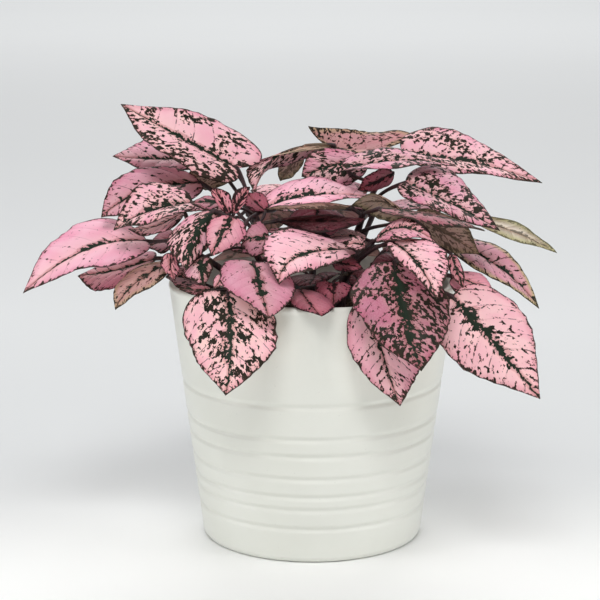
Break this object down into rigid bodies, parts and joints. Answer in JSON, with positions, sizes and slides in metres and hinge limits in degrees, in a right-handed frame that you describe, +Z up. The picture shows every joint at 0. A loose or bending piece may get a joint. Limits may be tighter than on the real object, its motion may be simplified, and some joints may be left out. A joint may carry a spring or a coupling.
{
  "type": "potted polka dot plant",
  "caption": "Bushy house plant with pointed pink leaves splashed dark green, in a white glazed cover pot with soft rings round its lower half.",
  "frame": {"origin": "centre of the cover pot's flat base, on the surface it stands on", "axes": "+Z up along the pot's axis, -Y towards the plant's front, +X to the right as seen from the front"},
  "size_m": [0.2355, 0.19, 0.1981],
  "materials": {
    "glaze": "satin",
    "grow_pot_plastic": "matte",
    "potting_mix": "matte",
    "pink_leaf": "satin"
  },
  "bodies": {
    "root": {"pot": "glaze", "nursery_pot": "grow_pot_plastic", "soil": "potting_mix", "stem_front_left": "pink_leaf", "stem_left": "pink_leaf", "stem_back_left": "pink_leaf", "stem_front": "pink_leaf", "stem_front_right": "pink_leaf", "stem_right": "pink_leaf", "stem_back_right": "pink_leaf", "stem_middle": "pink_leaf", "stem_rear_left": "pink_leaf", "stem_rear_right": "pink_leaf"}
  },
  "joints": []
}
